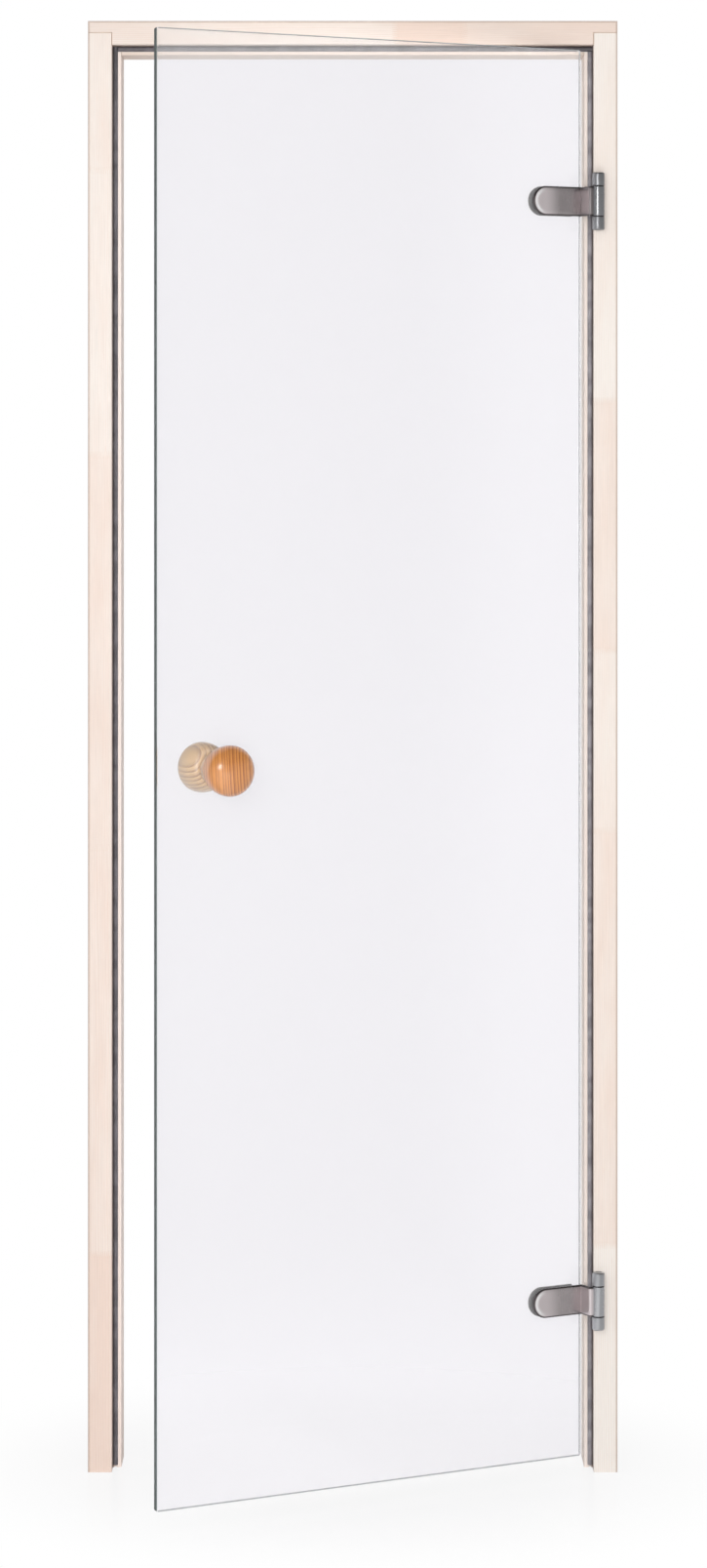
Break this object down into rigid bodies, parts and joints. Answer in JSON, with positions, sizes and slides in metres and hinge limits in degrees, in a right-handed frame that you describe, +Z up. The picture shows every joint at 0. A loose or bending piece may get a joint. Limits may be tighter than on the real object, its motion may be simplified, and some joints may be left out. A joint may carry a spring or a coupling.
{
  "type": "sauna door",
  "caption": "Frameless glass sauna door in a rebated pale timber frame with bulb seals, hung on two cranked clamp hinges, with turned wooden knobs.",
  "frame": {"origin": "on the outer side of the hinge jamb, at floor level and at the middle of the frame's depth", "axes": "+X out of the hinge jamb's outer side, so the doorway lies towards -X; -Y towards the side that the leaf opens to; +Z up"},
  "size_m": [0.69, 0.4008, 1.89],
  "materials": {
    "pale_timber": "planed pale softwood, unvarnished",
    "grey_rubber": "grey silicone bulb seal, matt",
    "black_rubber": "black gasket, matt",
    "satin_steel": "satin",
    "clear_glass": "clear toughened glass with ground arrises",
    "knob_wood": "turned orange-brown wood, satin lacquer"
  },
  "bodies": {
    "frame": {"hinge_jamb": "pale_timber", "latch_jamb": "pale_timber", "head": "pale_timber", "seal_latch_side": "grey_rubber", "seal_hinge_side": "grey_rubber", "seal_head": "grey_rubber", "upper_hinge_jamb_plate": "satin_steel", "upper_hinge_pin": "satin_steel", "upper_hinge_washer_1": "black_rubber", "upper_hinge_washer_2": "black_rubber", "upper_hinge_jamb_screw_1": "satin_steel", "upper_hinge_jamb_screw_2": "satin_steel", "upper_hinge_jamb_screw_3": "satin_steel", "lower_hinge_jamb_plate": "satin_steel", "lower_hinge_pin": "satin_steel", "lower_hinge_washer_1": "black_rubber", "lower_hinge_washer_2": "black_rubber", "lower_hinge_jamb_screw_1": "satin_steel", "lower_hinge_jamb_screw_2": "satin_steel", "lower_hinge_jamb_screw_3": "satin_steel"},
    "leaf": {"glass_leaf": "clear_glass", "upper_hinge_clamp_plate": "satin_steel", "upper_hinge_back_plate": "satin_steel", "upper_hinge_front_gasket": "black_rubber", "upper_hinge_back_gasket": "black_rubber", "upper_hinge_clamp_screw_1": "satin_steel", "upper_hinge_clamp_screw_2": "satin_steel", "lower_hinge_clamp_plate": "satin_steel", "lower_hinge_back_plate": "satin_steel", "lower_hinge_front_gasket": "black_rubber", "lower_hinge_back_gasket": "black_rubber", "lower_hinge_clamp_screw_1": "satin_steel", "lower_hinge_clamp_screw_2": "satin_steel", "knob_front": "knob_wood", "knob_back": "knob_wood", "knob_washer_front": "black_rubber", "knob_washer_back": "black_rubber", "knob_bolt": "satin_steel"}
  },
  "joints": [
    {"name": "leaf_swing", "type": "hinge", "parent": "frame", "child": "leaf", "pos_m": [-0.0255, -0.0565, 0.939], "axis": [0, 0, 1], "range_deg": [-29, 141]}
  ]
}
